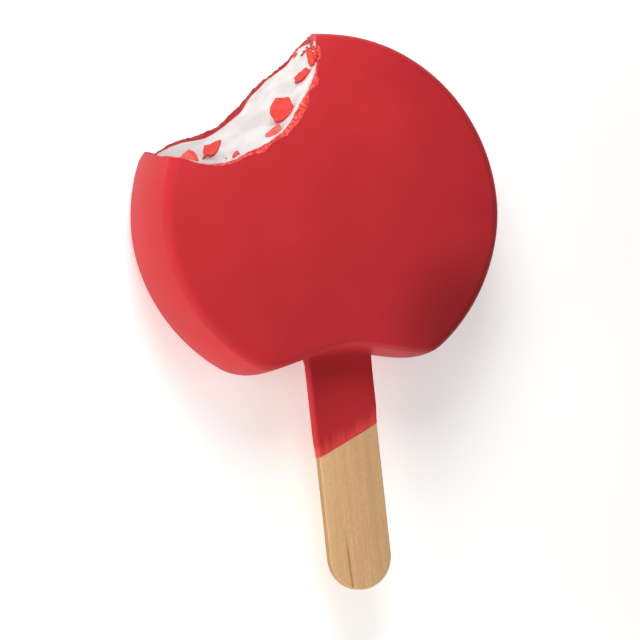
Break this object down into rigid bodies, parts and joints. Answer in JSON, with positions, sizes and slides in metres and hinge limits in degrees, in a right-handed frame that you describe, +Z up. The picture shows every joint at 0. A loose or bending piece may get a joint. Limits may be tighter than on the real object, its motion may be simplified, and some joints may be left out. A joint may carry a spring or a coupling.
{
  "type": "ice cream bar",
  "caption": "Round dipped ice cream bar lying on its back: thick red-coated disc with a bite showing the white filling, on a flat wooden stick coated at its root",
  "frame": {"origin": "middle of the round body's flat back face, on the surface that the bar lies on", "axes": "+X to the right of the shown face, +Y along the bar towards its top with the stick leaving towards -Y, +Z up out of the shown face"},
  "size_m": [0.071, 0.1072, 0.022],
  "materials": {
    "coating": "smooth satin red fat-based dip, stood in for by gloss plastic",
    "ice_cream": "soft white frozen cream, bitten and slightly crumbly, stood in for by matte plastic",
    "wood": "pale unvarnished birch with fine straight grain"
  },
  "bodies": {
    "root": {"coating": "coating", "ice_cream": "ice_cream", "stick": "wood"}
  },
  "joints": []
}
